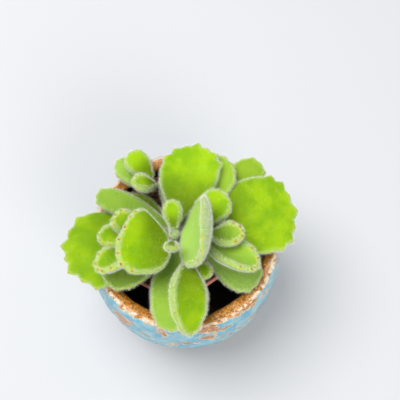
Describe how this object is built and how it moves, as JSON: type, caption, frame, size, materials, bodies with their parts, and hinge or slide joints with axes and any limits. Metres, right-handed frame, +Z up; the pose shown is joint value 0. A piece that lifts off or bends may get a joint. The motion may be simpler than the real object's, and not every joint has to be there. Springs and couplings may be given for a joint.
{
  "type": "potted cotyledon",
  "caption": "Bushy succulent with thick, felted, toothed leaves on a branching stem, in a nursery pot of soil standing inside a wide glazed planter.",
  "frame": {"origin": "the middle of the planter's foot, on the surface that it stands on", "axes": "+Z up out of the planter, -Y the front, +X to the right of someone at the front"},
  "size_m": [0.151, 0.1316, 0.1367],
  "materials": {
    "planter_glaze": "thick, uneven turquoise and cream glaze over a rust-brown body, glossy in patches",
    "pot_plastic": "moulded terracotta-coloured plastic, satin",
    "peat": "coarse dark peat with light grit",
    "stem": "fleshy green stem with short pale hairs",
    "leaf": "fleshy yellow-green leaf with a short white felt and red-brown tooth tips"
  },
  "bodies": {
    "root": {"back_shoot": "stem", "back_shoot_leaf_left": "leaf", "back_shoot_leaf_low": "leaf", "back_shoot_leaf_right": "leaf", "back_shoot_leaf_small": "leaf", "front_shoot": "stem", "front_shoot_leaf": "leaf", "front_shoot_leaf_small": "leaf", "leaf_back_left": "leaf", "leaf_back_right": "leaf", "leaf_large_left": "leaf", "leaf_large_right": "leaf", "leaf_low_back_left": "leaf", "leaf_low_right": "leaf", "leaf_lower_back": "leaf", "leaf_lower_left": "leaf", "leaf_tip_back": "leaf", "leaf_tip_front": "leaf", "leaf_top_left": "leaf", "leaf_top_right": "leaf", "leaf_upper_back": "leaf", "leaf_upper_front": "leaf", "left_shoot": "stem", "left_shoot_leaf_back": "leaf", "left_shoot_leaf_front": "leaf", "left_shoot_leaf_low": "leaf", "left_shoot_leaf_middle": "leaf", "main_stem": "stem", "nursery_pot": "pot_plastic", "planter": "planter_glaze", "right_shoot": "stem", "right_shoot_leaf_back": "leaf", "right_shoot_leaf_front": "leaf", "right_shoot_leaf_middle": "leaf", "soil": "peat"}
  },
  "joints": []
}
